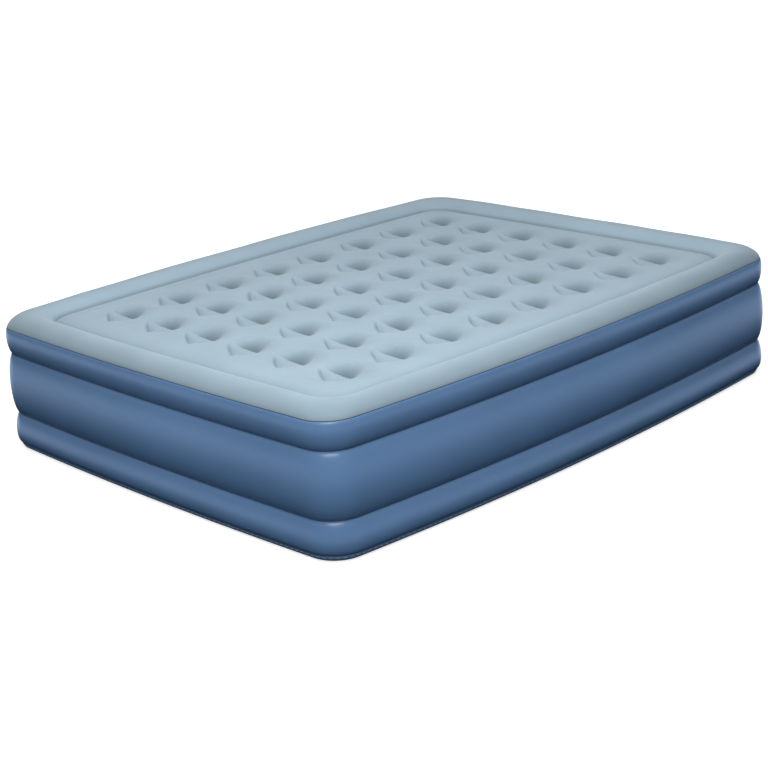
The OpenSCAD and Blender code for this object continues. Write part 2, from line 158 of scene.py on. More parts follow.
seam_outline = Outline(HALF_W, HALF_L, CORNER_R, SIDE_BOW, END_BOW)
groove_outline = Outline(GROOVE_HALF_W, GROOVE_HALF_L, GROOVE_CORNER_R,
                         GROOVE_SIDE_BOW, GROOVE_END_BOW)


def places_round(side_shares, end_shares):
    """Places all the way round, anticlockwise from the middle of the +X side.
    The shares run from 0 at the middle of a side or end to 1 at the corner."""
    up = [(1, s, 1, 1) for s in side_shares]
    over = [(0, s, 1, 1) for s in end_shares[-2::-1]]
    quarter = up + over
    half = quarter + [(on, s, -1, 1) for on, s, _, _ in quarter[-2:0:-1]]
    half.append((1, 0.0, -1, 1))
    back = [(on, s, -x, -y) for on, s, x, y in half[1:-1]]
    return np.array(half + back, float)


def outward(line):
    """Unit normals of a closed anticlockwise line."""
    tangent = np.roll(line, -1, axis=0) - np.roll(line, 1, axis=0)
    tangent /= np.linalg.norm(tangent, axis=1)[:, None]
    return np.stack([tangent[:, 1], -tangent[:, 0]], axis=1)


# ---- meshes ----

def ring_faces(first, second):
    """Quads between two closed rows of vertex numbers."""
    return np.stack([first, np.roll(first, -1), np.roll(second, -1), second], axis=1)


def make_mesh(name, vertices, faces):
    """A smooth-shaded piece that rides on the mattress."""
    mesh = bpy.data.meshes.new(name)
    mesh.from_pydata(np.asarray(vertices, float).tolist(), [],
                     [list(map(int, face)) for face in faces])
    mesh.validate()
    mesh.shade_smooth()
    piece = bpy.data.objects.new(name, mesh)
    bpy.context.scene.collection.objects.link(piece)
    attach(piece, "mattress")
    return piece


def store_painted_shade(piece, amount):
    """Stores each vertex's painted shade, 0 to 1: how far its material darkens the colour
    towards a shade tint.
    """
    layer = piece.data.attributes.new("painted_shade", "FLOAT", "POINT")
    layer.data.foreach_set("value", np.clip(amount, 0, 1).astype(np.float32))


def loops_mesh(name, loops, closed=False):
    """A skin through rows of points that all run the same way round."""
    around = len(loops[0])
    rows = [np.arange(around) + k * around for k in range(len(loops))]
    pairs = list(zip(rows[:-1], rows[1:]))
    if closed:
        pairs.append((rows[-1], rows[0]))
    faces = np.concatenate([ring_faces(a, b) for a, b in pairs])
    return make_mesh(name, np.concatenate(loops), faces)


def raised(line, z):
    """A flat line as points at height z, which is one number or one for each point."""
    return np.column_stack([line, np.broadcast_to(z, len(line))])


def smooth_step(x):
    """0 below 0, 1 above 1, and an even curve between."""
    x = np.clip(x, 0, 1)
    return x * x * (3 - 2 * x)


class Swell:
    """A smooth random field: a few sine waves of about one wavelength."""

    def __init__(self, wavelength, waves=7):
        angle = rng.uniform(0, 2 * math.pi, waves)
        number = 2 * math.pi / (wavelength * rng.uniform(0.7, 1.6, waves))
        self.kx, self.ky = number * np.cos(angle), number * np.sin(angle)
        self.phase = rng.uniform(0, 2 * math.pi, waves)
        self.scale = 1 / math.sqrt(waves / 2)

    def __call__(self, x, y):
        turn = x[..., None] * self.kx + y[..., None] * self.ky + self.phase
        return np.sin(turn).sum(axis=-1) * self.scale / 2


# ---- dimples ----

LIP_HALF = 46 * MM              # half-length of a dimple's crisp lip
LIP_MIDDLE = 9 * MM             # its middle lies this far to the right of the coil's
LIP_CURL = 5 * MM               # how far the lip's left end bends away
BOWL_DEPTH = 10 * MM            # the broad round sag that holds the whole dimple
BOWL_R = 100 * MM
BOWL_MIDDLE = -2 * MM           # how far right of the lip's middle its own middle lies
POCKET_DEPTH = 27 * MM          # the deep part behind the lip, below the bowl
POCKET_REACH = 100 * MM
POCKET_LEFT, POCKET_RIGHT = 62 * MM, 60 * MM
POCKET_LEAN = 0.25              # it runs back at a slant
LIP_SHALLOW = 3.5 * MM          # depth of the lip's left end below the deck
LIP_DEEP = 12 * MM              # and of its right end
FOOT_DEPTH = 9 * MM             # and what is added along its left wall
LEFT_NORMAL = (0.55, 0.835)     # across the left wall and the near edge, inward
NEAR_NORMAL = (-0.85, 0.53)
WALL_REACH = 57 * MM            # both stand this far from the lip's middle
LEFT_WALL = 11 * MM             # widths of the slopes there
NEAR_WALL = 14 * MM
CREST = 1.2 * MM                # the lip's own rolled edge
CREST_BACK, CREST_WIDTH = 2 * MM, 5 * MM
LIP_EDGE = 1.6 * MM             # width of the drop behind the lip
NOTCH_RIGHT = 60 * MM           # where the shallow half's slanting right end lies
NOTCH_RIGHT_LEAN = 0.35
NOTCH_RIGHT_WIDTH = 12 * MM
NOTCH_FADE = 34 * MM            # how fast the lip's own depth fades in front of it
NOTCH_SPILL = 22 * MM           # and behind it
FOOT_MIDDLE, FOOT_WIDTH = 10 * MM, 20 * MM
FOOT_START, FOOT_RISE = 4 * MM, 26 * MM
PUCKER = 0.5 * MM               # faint folds that gather round the dimple
PUCKER_R, PUCKER_WIDTH = 78 * MM, 16 * MM
PUCKER_FOLDS = (5, 8, 13)

# How strongly shade is painted into the dimples' colour, 0 to 1.
NOTCH_SHADE = 0.7
FLOOR_SHADE = 0.34
BOWL_SHADE = 0.36
BOWL_NEAR_SHARE = 0.45          # of the bowl's shade, on the near side of the lip
BOWL_SHADE_BACK = 26 * MM       # the bowl's shade is strongest this far behind the lip
POCKET_FULL_SHADE = 22 * MM     # painted shade is full where a pocket is this deep

# Small differences from dimple to dimple.
depth_share = np.clip(1 + 0.07 * rng.standard_normal((COLUMNS, ROWS)), 0.85, 1.07)
lip_turn = np.radians(2.5) * rng.standard_normal((COLUMNS, ROWS))
lip_shift = 2.2 * MM * rng.standard_normal((COLUMNS, ROWS, 2))
pucker_phase = rng.uniform(0, 2 * math.pi, (COLUMNS, ROWS, 3))


def lip_bend(u):
    """How far the lip lies off its straight line: its left end bends away."""
    return LIP_CURL * np.clip(-u / LIP_HALF, 0, 1.4) ** 2


def bowl_depth(radius):
    """The broad sag, at a distance from its middle."""
    return BOWL_DEPTH * smooth_step(1 - radius / BOWL_R)


def pocket_depth(u, v):
    """The deep half: steepest at the lip, fading out on its far shoulder. It shelves
    gently to the left and ends more steeply on the right."""
    u = u + POCKET_LEAN * v
    across = np.where(u < 0, np.clip(-u / POCKET_LEFT, 0, 2) ** 2.2,
                      np.clip(u / POCKET_RIGHT, 0, 2) ** 3.2)
    return POCKET_DEPTH * np.clip(1 - across - v / POCKET_REACH, 0, 1) ** 1.7


def wall_distances(u, v):
    """How far inside the left wall and the near edge of the shallow half."""
    left = LEFT_NORMAL[0] * u + LEFT_NORMAL[1] * v + WALL_REACH
    near = NEAR_NORMAL[0] * u + NEAR_NORMAL[1] * v + WALL_REACH
    return left, near


def tongue_depth(u, v):
    """What the shallow half adds to the bowl: the lip slopes down to the right, and the
    floor is deepest along the crisp left wall."""
    left, near = wall_distances(u, v)
    right = (NOTCH_RIGHT - u - NOTCH_RIGHT_LEAN * v) / NOTCH_RIGHT_WIDTH
    along = smooth_step((u + 50 * MM) / (75 * MM))
    lip = LIP_SHALLOW + (LIP_DEEP - LIP_SHALLOW) * along
    lip = np.clip(lip - bowl_depth(np.abs(u - BOWL_MIDDLE)), 0, 1)
    lip = lip * np.exp(-(v / NOTCH_FADE) ** 2)
    foot = np.exp(-((np.minimum(left, near + 6 * MM) - FOOT_MIDDLE) / FOOT_WIDTH) ** 2)
    floor = lip + FOOT_DEPTH * foot * smooth_step(-(v + FOOT_START) / FOOT_RISE)
    walls = smooth_step(left / LEFT_WALL) * smooth_step(near / NEAR_WALL)
    return floor * walls * smooth_step(right)


def dimple_height(u, v, share, phases):
    """Height over the sleeping surface near one dimple, and the shade painted into its
    colour there.
    The lip lies along v = 0."""
    u = u - LIP_MIDDLE
    back = np.clip(v, 0, None)
    far = pocket_depth(u, back)
    near = tongue_depth(u, np.clip(v, None, 0)) * np.exp(-back / NOTCH_SPILL)
    radius = np.hypot(u - BOWL_MIDDLE, v)
    depth = np.where(v > 0, np.maximum(near, far * smooth_step(v / LIP_EDGE)), near)
    height = -share * (depth + bowl_depth(radius))
    crest = np.exp(-((v + CREST_BACK) / CREST_WIDTH) ** 2)
    crest = crest * smooth_step(1.6 - np.abs(u) / LIP_HALF)
    height += CREST * crest * (v <= 0.1 * MM)
    angle = np.arctan2(v, u)
    folds = sum(np.cos(k * angle + phase) for k, phase in zip(PUCKER_FOLDS, phases))
    height += PUCKER * folds * np.exp(-((radius - PUCKER_R) / PUCKER_WIDTH) ** 2)
    # Painted shade: the pocket and the shallow half are darkened in colour, over a soft
    # shade on the bowl.
    shade = np.where(v > 0, (far - 0.2 * MM) / POCKET_FULL_SHADE, notch_shade(u, v))
    return height, shade + bowl_shade(u, v)


def bowl_shade(u, v):
    """A soft painted shade over the whole bowl, weaker on the near side of the lip."""
    radius = np.hypot(u - BOWL_MIDDLE, v - BOWL_SHADE_BACK)
    side = np.where(v > 0, 1.0, BOWL_NEAR_SHARE)
    return BOWL_SHADE * side * smooth_step(1.05 - radius / BOWL_R)


def notch_shade(u, v):
    """Painted shade in the shallow half: darkest at the foot of its left wall."""
    left, near = wall_distances(u, v)
    line = NOTCH_SHADE * np.exp(-((left - 6 * MM) / (9 * MM)) ** 2)
    inside = np.minimum(left, near)
    floor = FLOOR_SHADE * np.exp(-((inside - 8 * MM) / (20 * MM)) ** 2)
    begins = smooth_step(-(v + 7 * MM) / (24 * MM))
    return np.maximum(line, floor) * begins * smooth_step(inside / (5 * MM))


# ---- top cover ----

CELL_COLUMNS = 44               # mesh columns to one dimple's spacing
CELL_ROWS = 44
LIP_LINES = (-4.5 * MM, -2.2 * MM, -0.9 * MM, 0.0, 0.8 * MM, 1.6 * MM, 3.4 * MM)
LIP_ZONE = 6 * MM               # evenly spaced lines stop this far from the lip
DECK_HALF_W = 584 * MM          # edge of the part that is a plain grid
DECK_HALF_L = 806 * MM
SHOULDER_LOOPS = 15
RIM_LOOPS = 28
RIM_ARCH = 0.72                 # 0.5 is an ellipse, and more is leaner at the feet
SHOULDER_ROUND = 0.66           # the same for the edge of the sleeping surface
DECK_SWAY = 1.2 * MM            # height of the slow waves in the sleeping surface
RIM_WAVE = 1.3 * MM             # and in the rim
RIM_SHADE = 0.4                 # painted shade on the rim's outer face
# Painted shade in the groove, strongest at its bottom.
GROOVE_SHADE = 0.6
GROOVE_SHADE_LOOPS = 8          # rim loops that still lie in the groove
HOLD_ALONG = 90 * MM            # the lip's bend fades out over these distances
HOLD_ACROSS, HOLD_WIDTH = 94 * MM, 30 * MM


def grid_lines(half, pitch, count, steps, extra=()):
    """Grid positions from -half to half, with extra lines inside each cell."""
    centres = (np.arange(count) - (count - 1) / 2) * pitch
    even = np.arange(-steps // 2, steps // 2) / steps * pitch
    if extra:
        even = even[np.abs(even) > LIP_ZONE]
    cells = [c + o for c in centres for o in list(even) + list(extra)]
    edge = count / 2 * pitch
    margin = np.linspace(edge, half, max(2, round((half - edge) / (pitch / steps))) + 1)
    return np.unique(np.round(np.concatenate([cells, margin, -margin]), 7))


def lay_dimples(x, y):
    """Bends the grid along the lips and returns (x, y, height over the surface,
    shade painted into the colour)."""
    height, painted_shade = np.zeros_like(x), np.zeros_like(x)
    shift_x, shift_y = np.zeros_like(x), np.zeros_like(y)
    for i in range(COLUMNS):
        for j in range(ROWS):
            u = x - (i - (COLUMNS - 1) / 2) * PITCH_X
            v = y - (j - (ROWS - 1) / 2) * PITCH_Y
            near = (np.abs(u) < PITCH_X / 2) & (np.abs(v) < PITCH_Y / 2)
            u, v = u[near], v[near]
            height[near], painted_shade[near] = dimple_height(u, v, depth_share[i, j],
                                                       pucker_phase[i, j])
            hold = smooth_step(1 - np.abs(v) / HOLD_ALONG)
            hold = hold * smooth_step((HOLD_ACROSS - np.abs(u)) / HOLD_WIDTH)
            shift_x[near] += hold * lip_shift[i, j, 0]
            shift_y[near] += hold * (lip_bend(u) + u * lip_turn[i, j] + lip_shift[i, j, 1])
    return x + shift_x, y + shift_y, height, painted_shade


def shoulder_z(share):
    """Height of the sleeping surface's rounded edge; share is 1 at the groove."""
    reach = np.clip(1 - share, 0, 1)
    return GROOVE_Z + (DECK_Z - GROOVE_Z) * (1 - (1 - reach) ** 2) ** SHOULDER_ROUND


def rim_section():
    """(share of the way from groove to seam, height) across the rim."""
    t = -np.cos(np.linspace(0, math.pi, RIM_LOOPS + 1)[1:])
    share = (1 + t) / 2
    foot = SEAM_Z + 1 * MM
    chord = GROOVE_Z + (foot - GROOVE_Z) * share
    arch = np.clip(1 - np.abs(t) ** 2.2, 0, 1) ** RIM_ARCH
    return share, chord + (RIM_Z - (GROOVE_Z + foot) / 2) * arch


def deck_edge(columns, rows):
    """Vertex numbers round the grid's edge, and their places on the outlines."""
    xs, ys = np.arange(len(columns)), np.arange(len(rows))
    last_x, last_y = xs[-1], ys[-1]
    walk = [(last_x, j) for j in ys]
    walk += [(i, last_y) for i in xs[-2::-1]]
    walk += [(0, j) for j in ys[-2::-1]]
    walk += [(i, 0) for i in xs[1:-1]]
    numbers = np.array([i * len(rows) + j for i, j in walk])
    places = []
    for i, j in walk:
        x, y = columns[i], rows[j]
        on_side = i in (0, last_x)
        share = abs(y) / DECK_HALF_L if on_side else abs(x) / DECK_HALF_W
        places.append((on_side, share, 1 if x >= 0 else -1, 1 if y >= 0 else -1))
    return numbers, np.array(places, float)


def shoulder_loops(edge, groove, sway):
    """Rows from the grid's edge down the rounded shoulder into the groove."""
    gap = np.linalg.norm(groove - edge, axis=1)
    loops = []
    for k in range(1, SHOULDER_LOOPS + 1):
        across = math.sin(math.pi / 2 * k / SHOULDER_LOOPS)
        line = edge + (groove - edge) * across
        fall = 1 - gap * (1 - across) / SHOULDER
        lift = DECK_SWAY * sway(line[:, 0], line[:, 1]) * (1 - across)
        loops.append(raised(line, shoulder_z(np.clip(fall, 0, 1)) + lift))
    return loops


def rim_loops(groove, seam):
    """Rows over the rim, and round the sheet's edge under the seam."""
    wave = Swell(0.32)
    loops = []
    for share, z in zip(*rim_section()):
        line = groove + (seam - groove) * share
        free = math.sin(math.pi * share)
        loops.append(raised(line, z + RIM_WAVE * free * wave(line[:, 0], line[:, 1])))
    normal = outward(seam)
    for out, rise in ((0.6 * MM, 0.2 * MM), (-0.4 * MM, -0.5 * MM), (-4 * MM, -0.3 * MM)):
        loops.append(raised(seam + out * normal, SEAM_Z + rise))
    return loops


def painted_edge_shade(heights, around):
    """Painted shade of the rows outside the grid: the groove, then the rim's outer face."""
    sunk = np.clip((DECK_Z - heights) / (DECK_Z - GROOVE_Z), 0, 1)
    row = np.arange(len(heights)) // around
    rim_share = (row - SHOULDER_LOOPS) / RIM_LOOPS
    return np.where(row < SHOULDER_LOOPS + GROOVE_SHADE_LOOPS, GROOVE_SHADE * sunk ** 0.7,
                    RIM_SHADE * smooth_step((rim_share - 0.3) / 0.45))


def make_top_cover():
    """The flocked sheet: dimpled deck, groove, raised rim, and its edge at the seam."""
    columns = grid_lines(DECK_HALF_W, PITCH_X, COLUMNS, CELL_COLUMNS)
    rows = grid_lines(DECK_HALF_L, PITCH_Y, ROWS, CELL_ROWS, LIP_LINES)
    x, y = np.meshgrid(columns, rows, indexing="ij")
    sway = Swell(0.5)
    px, py, height, painted_dimple_shade = lay_dimples(x, y)
    deck = np.stack([px, py, DECK_Z + height + DECK_SWAY * sway(px, py)], axis=-1)
    number = np.arange(x.size).reshape(x.shape)
    faces = [np.stack([number[:-1, :-1], number[1:, :-1], number[1:, 1:],
                       number[:-1, 1:]], axis=-1).reshape(-1, 4)]

    edge_numbers, places = deck_edge(columns, rows)
    edge = deck.reshape(-1, 3)[edge_numbers, :2]
    groove = groove_outline.points(places)
    loops = shoulder_loops(edge, groove, sway)
    loops += rim_loops(groove, seam_outline.points(places))

    around = len(edge_numbers)
    previous = edge_numbers
    for k in range(len(loops)):
        current = x.size + k * around + np.arange(around)
        faces.append(ring_faces(previous, current)[:, ::-1])
        previous = current
    vertices = np.concatenate([deck.reshape(-1, 3)] + loops)
    cover = make_mesh("top_cover", vertices, np.concatenate(faces))
    # Painted shade for the flock: the dimples, then the groove and the rim's outer face.
    store_painted_shade(cover, np.concatenate([painted_dimple_shade.ravel(),
                                        painted_edge_shade(vertices[x.size:, 2], around)]))
    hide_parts("top_sheet")
    return cover


# ---- side bands ----

SIDE_STEPS = 150                # points from the middle of a side to its corner
END_STEPS = 120

band_places = places_round(np.linspace(0, 1, SIDE_STEPS), np.linspace(0, 1, END_STEPS))
seam_line = seam_outline.points(band_places)
seam_normal = outward(seam_line)


BAND_FULLNESS = 0.95            # 1 is an ellipse, and less is squarer
BREATHE = 0.06                  # how much a bulge grows and shrinks along its length


def belly_profile(low, high, bulge, sag, steps):
    """Points of a bulge from low to high, each (out, height). It hangs down by sag."""
    low, high = np.array(low), np.array(high)
    a = np.linspace(0, math.pi, steps + 1)
    share = (1 - np.cos(a)) / 2
    points = low + (high - low) * share[:, None]
    points[:, 0] += bulge * np.sin(a) ** BAND_FULLNESS
    points[:, 1] -= sag * np.sin(a)
    return points


BANDS = {
    # name: (CAD node, low end, high end, bulge, sag, steps)
    "upper_side": ("upper_band", (-WAIST_IN, UPPER_WAIST_Z + 0.4 * MM),
                   (-1.2 * MM, SEAM_Z - 0.6 * MM), 11 * MM, 3 * MM, 28),
    "middle_side": ("middle_band", (-WAIST_IN, LOWER_WAIST_Z + 0.4 * MM),
                    (-WAIST_IN, UPPER_WAIST_Z - 0.4 * MM), 21 * MM, 6 * MM, 38),
    "lower_side": ("lower_band", (-0.5 * MM, BASE_SEAM_Z - 1 * MM),
                   (-WAIST_IN, LOWER_WAIST_Z - 0.4 * MM), 14 * MM, 2 * MM, 28),
}


def band_loops(profile, swell):
    """Rows of points up a band; the bulge breathes a little along its length."""
    low, high = profile[0], profile[-1]
    loops = []
    for k, (out, z) in enumerate(profile):
        share = k / (len(profile) - 1)
        chord_out = low[0] + (high[0] - low[0]) * share
        breathe = 1 + BREATHE * swell(seam_line[:, 0], seam_line[:, 1])
        reach = chord_out + (out - chord_out) * breathe
        loops.append(raised(seam_line + seam_normal * reach[:, None], z))
    return loops


UNDER_SHADE = 0.85              # painted shade at a band's lower edge, and at its upper one
OVER_SHADE = 0.35


def painted_crease_shade(piece, low_z, high_z):
    """Painted shade for each of a band's vertices, by how far into the creases at its two
    edges it lies.
    """
    z = np.array([vertex.co.z for vertex in piece.data.vertices])
    under = np.exp(-np.clip(z - low_z, 0, None) / (0.26 * (high_z - low_z)))
    over = np.exp(-np.clip(high_z - z, 0, None) / (4 * MM))
    return UNDER_SHADE * under + OVER_SHADE * over


def make_bands():
    pieces = []
    for name, (node, low, high, bulge, sag, steps) in BANDS.items():
        loops = band_loops(belly_profile(low, high, bulge, sag, steps), Swell(0.7))
        if name == "middle_side":
            piece = make_pierced_band(name, loops)
        else:
            piece = loops_mesh(name, loops)
        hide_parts(node)
        # Painted shade near the creases darkens the film's colour.
        store_painted_shade(piece, painted_crease_shade(piece, low[1], high[1]))
        pieces.append(piece)
    return pieces


HOLE_BLOCK = 7                  # mesh steps from the hole's middle to its edge
BLEND_BLOCK = 12                # and to where the mesh runs straight again
CLEAR_STEPS = 40                # a column this far along is untouched by the hole


def nearest_to_valve(grid):
    """Row and column of the point on the +Y end that is nearest the valve's middle."""
    flat = grid[:, :, [0, 2]]
    at_end = grid[:, :, 1] > HALF_L * 0.9
    distance = np.linalg.norm(flat - (VALVE_X, VALVE_Z), axis=2)
    distance = np.where(at_end, distance, np.inf)
    return np.unravel_index(distance.argmin(), distance.shape)


def round_off_hole(grid, row, column):
    """Moves the points near the valve onto circles, and returns which ones to keep."""
    rows, around = grid.shape[:2]
    centre = np.array([VALVE_X, VALVE_Z])
    clear_z = grid[:, (column + CLEAR_STEPS) % around, 2].copy()
    bulge = grid[:, column, 1] - grid[0, column, 1]
    keep = np.ones((rows, around), bool)
    block = range(-BLEND_BLOCK, BLEND_BLOCK + 1)
    for k, m in ((k, m) for k in block for m in block):
        ring = max(abs(k), abs(m))
        r, c = row + k, (column - m) % around
        if not 0 < r < rows - 1:
            continue
        if ring < HOLE_BLOCK:
            keep[r, c] = False
            continue
        step = np.array([m, k]) / math.hypot(m, k)
        target = centre + (COLLAR_R - 1 * MM) * ring / HOLE_BLOCK * step
        blend = smooth_step((ring - HOLE_BLOCK) / (BLEND_BLOCK - HOLE_BLOCK))
        flat = target + (grid[r, c, [0, 2]] - target) * blend
        on_band = np.interp(flat[1], clear_z, bulge) + end_line_y(flat[0]) - WAIST_IN
        grid[r, c] = flat[0], on_band + (grid[r, c, 1] - on_band) * blend, flat[1]
    return keep


def make_pierced_band(name, loops):
    """The middle band, with a round hole behind the valve's collar."""
    grid = np.array(loops)
    row, column = nearest_to_valve(grid)
    keep = round_off_hole(grid, row, column)
    number = np.arange(keep.size).reshape(keep.shape)
    after = np.roll(number, -1, axis=1)
    quads = np.stack([number[:-1], after[:-1], after[1:], number[1:]], axis=-1)
    kept = keep & np.roll(keep, -1, axis=1)
    used = quads[kept[:-1] & kept[1:]]
    alive = np.unique(used)
    order = np.full(keep.size, -1)
    order[alive] = np.arange(len(alive))
    return make_mesh(name, grid.reshape(-1, 3)[alive], order[used])


def end_line_y(x):
    """Y of the seam outline on the +Y end, at a given x."""
    line = seam_outline.end[1]
    return np.interp(abs(x), line[:, 0], line[:, 1])


# ---- welds and base ----

BEAD_SIDES = 8
EDGE_R = BASE_SEAM_Z - 2 * MM   # roundness of the base sheet's turned-up edge
EDGE_TOP = BASE_SEAM_Z - 1 * MM
EDGE_STEPS = 8
PRESSED_Z = 8.5 * MM            # the pressed line low on the turned-up edge
DASH_Z = 15.5 * MM              # the row of short weld marks above it
DASH_LENGTH = 11 * MM
DASH_HEIGHT = 1.8 * MM
DASH_PROUD = 0.5 * MM
DASH_SUNK = 1 * MM
DASH_SPACING = 19 * MM


def tube_round(name, out, z, radius):
    """A thin bead that follows the outline."""
    loops = []
    for a in np.linspace(0, 2 * math.pi, BEAD_SIDES, endpoint=False):
        line = seam_line + seam_normal * (out + radius * math.cos(a))
        loops.append(raised(line, z + radius * math.sin(a)))
    return loops_mesh(name, loops, closed=True)


def turned_up(z):
    """How far inside the outline the base sheet's rounded edge lies at height z."""
    drop = np.clip((EDGE_TOP - z) / EDGE_R, 0, 1)
    return EDGE_R * (math.sqrt(1 - drop ** 2) - 1)


def make_welds():
    """The two welded seams, and a pressed line low on the turned-up base sheet."""
    # The top bead is navy so the seam shows as a thin dark line: partly the weld itself,
    # partly painted shade of the gap under the cover's edge.
    top = tube_round("top_weld", -0.5 * MM, SEAM_Z - 0.9 * MM, 1.3 * MM)
    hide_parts("top_seam")
    base = tube_round("base_weld", 0.1 * MM, BASE_SEAM_Z - 1.2 * MM, 1.1 * MM)
    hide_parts("base_seam")
    line = tube_round("base_line", turned_up(PRESSED_Z), PRESSED_Z, 0.8 * MM)
    return [top, base, line]


def make_weld_dashes():
    """A row of short pressed weld marks round the turned-up base sheet."""
    closed = np.vstack([seam_line, seam_line[:1]])
    reach = np.concatenate([[0], np.cumsum(np.linalg.norm(np.diff(closed, axis=0), axis=1))])
    count = int(reach[-1] / DASH_SPACING)
    vertices, faces = [], []
    profile = ((-DASH_SUNK, -0.5), (DASH_PROUD, -0.3), (DASH_PROUD, 0.3), (-DASH_SUNK, 0.5))
    for start in np.arange(count) / count * reach[-1]:
        a, b = (np.array([np.interp(s, reach, closed[:, k]) for k in (0, 1)])
                for s in (start, start + DASH_LENGTH))
        along = (b - a) / np.linalg.norm(b - a)
        normal = np.array([along[1], -along[0]])
        first = len(vertices)
        for end in (a, b):
            for proud, share in profile:
                z = DASH_Z + share * DASH_HEIGHT
                vertices.append((*(end + normal * (turned_up(z) + proud)), z))
        faces += [[first + k, first + 4 + k, first + 4 + (k + 1) % 4, first + (k + 1) % 4]
                  for k in range(4)]
        faces += [[first + k for k in range(4)], [first + 7 - k for k in range(4)]]
    dashes = make_mesh("weld_dashes", vertices, faces)
    return dashes


def make_base():
    """The dark base sheet, turned up round the bottom edge."""
    loops = []
    for a in np.linspace(0, math.pi / 2, EDGE_STEPS + 1):
        line = seam_line + seam_normal * (EDGE_R * (math.cos(a) - 1))
        loops.append(raised(line, EDGE_TOP - EDGE_R * math.sin(a)))
    under = loops[-1]
    for share in (0.96, 0.85, 0.6, 0.3):
        loops.append(raised(under[:, :2] * share, under[0, 2]))
    around = len(seam_line)
    rows = [np.arange(around) + k * around for k in range(len(loops))]
    faces = [list(f) for a, b in zip(rows[:-1], rows[1:]) for f in ring_faces(a, b)[:, ::-1]]
    faces.append(list(rows[-1][::-1]))
    base = make_mesh("base_cover", np.concatenate(loops), faces)
    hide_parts("base_sheet")
    return base


# ---- valve collar ----

COLLAR_SIDES = 96
COLLAR_BULGE_R = 420 * MM       # the band's own roundness where it bulges most
COLLAR_RINGS = (
    # (radius in mm, mm proud of the surface, share of the way to a flat face)
    (66.0, 0.2, 0), (65.4, 0.9, 0), (60.0, 1.1, 0), (55.5, 1.3, 0.02), (53.2, 1.8, 0.15),
    (52.0, 2.6, 0.5), (51.2, 3.0, 0.8), (50.0, 3.3, 0.95), (48.5, 3.2, 1),
    (45.0, 3.0, 1), (38.0, 2.9, 1), (33.2, 2.9, 1), (33.0, -2.0, 1),
)


def make_collar():
    """The soft vinyl boss round the valve. Its skirt lies on the bulging band."""
    crest = COLLAR_FACE_Y - 3 * MM
    crest_z = VALVE_Z - 6 * MM
    angles = np.linspace(0, 2 * math.pi, COLLAR_SIDES, endpoint=False)
    loops = []
    for radius, proud, flat in COLLAR_RINGS:
        x = VALVE_X + radius * MM * np.cos(angles)
        z = VALVE_Z + radius * MM * np.sin(angles)
        drop = COLLAR_BULGE_R - np.sqrt(COLLAR_BULGE_R ** 2 - (z - crest_z) ** 2)
        along = end_line_y(VALVE_X) - end_line_y(x)
        surface = crest - (drop + along) * (1 - flat)
        loops.append(np.column_stack([x, surface + proud * MM, z]))
    collar = loops_mesh("collar_boss", loops)
    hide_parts("valve_collar")
    return collar


# ---- materials ----

def new_material(name):
    """An empty material: (material, node tree, shader, object coordinates)."""
    material = bpy.data.materials.new(name)
    material.use_nodes = True
    tree = material.node_tree
    tree.nodes.clear()
    out = tree.nodes.new("ShaderNodeOutputMaterial")
    shader = tree.nodes.new("ShaderNodeBsdfPrincipled")
    tree.links.new(shader.outputs["BSDF"], out.inputs["Surface"])
    where = tree.nodes.new("ShaderNodeTexCoord")
    return material, tree, shader, where.outputs["Object"]


def noise(tree, where, scale, detail=3.0):
    """Cloudy values, mostly between 0.3 and 0.7."""
    node = tree.nodes.new("ShaderNodeTexNoise")
    node.inputs["Scale"].default_value = scale
    node.inputs["Detail"].default_value = detail
    node.inputs["Roughness"].default_value = 0.55
    tree.links.new(where, node.inputs["Vector"])
    return node.outputs["Fac"]


def ramp(tree, value, low, high, at=(0.3, 0.7)):
    """Colours or greys between two stops."""
    node = tree.nodes.new("ShaderNodeValToRGB")
    for stop, colour, place in zip(node.color_ramp.elements, (low, high), at):
        stop.position = place
        stop.color = tuple(colour) + (1,) if len(colour) == 3 else tuple(colour)
    tree.links.new(value, node.inputs["Fac"])
    return node.outputs["Color"]


def grey(value):
    """A colour with three equal parts."""
    return (value, value, value)


def bump(tree, shader, layers):
    """Stacks bump layers, each (height, strength, distance)."""
    normal = None
    for height, strength, distance in layers:
        node = tree.nodes.new("ShaderNodeBump")
        node.inputs["Strength"].default_value = strength
        node.inputs["Distance"].default_value = distance
        tree.links.new(height, node.inputs["Height"])
        if normal is not None:
            tree.links.new(normal, node.inputs["Normal"])
        normal = node.outputs["Normal"]
    tree.links.new(normal, shader.inputs["Normal"])


def paint_shade(tree, colour, tint):
    """Painted shade: darkens a colour towards the tint by the shade stored on the mesh."""
    # This node reads the painted shade stored on each vertex.
    depth = tree.nodes.new("ShaderNodeAttribute")
    depth.attribute_name = "painted_shade"
    mix = tree.nodes.new("ShaderNodeMix")
    mix.data_type = "RGBA"
    mix.blend_type = "MULTIPLY"
    tree.links.new(depth.outputs["Fac"], mix.inputs["Factor"])
    tree.links.new(colour, mix.inputs[6])
    mix.inputs[7].default_value = tuple(tint) + (1,)
    return mix.outputs[2]


def flocked(name, colour):
    """Short velvety fibres on vinyl: matt, with a pale sheen at grazing angles."""
    material, tree, shader, where = new_material(name)
    low = tuple(c * 0.95 for c in colour)
    high = tuple(c * 1.04 for c in colour)
    patches = ramp(tree, noise(tree, where, 5.0, 4.0), low, high)
    # Painted shade: the flock's colour darkens towards the tint where shade is stored on the
    # mesh.
    tree.links.new(paint_shade(tree, patches, PAINTED_SHADE_TINT), shader.inputs["Base Color"])
    shader.inputs["Roughness"].default_value = 0.92
    shader.inputs["Specular IOR Level"].default_value = 0.25
    shader.inputs["Sheen Weight"].default_value = 0.35
    shader.inputs["Sheen Roughness"].default_value = 0.45
    shader.inputs["Sheen Tint"].default_value = (0.85, 0.93, 1.0, 1)
    bump(tree, shader, [(noise(tree, where, 900.0, 2.0), 0.25, 0.0006),
                        (noise(tree, where, 120.0, 3.0), 0.2, 0.0008)])
    return material


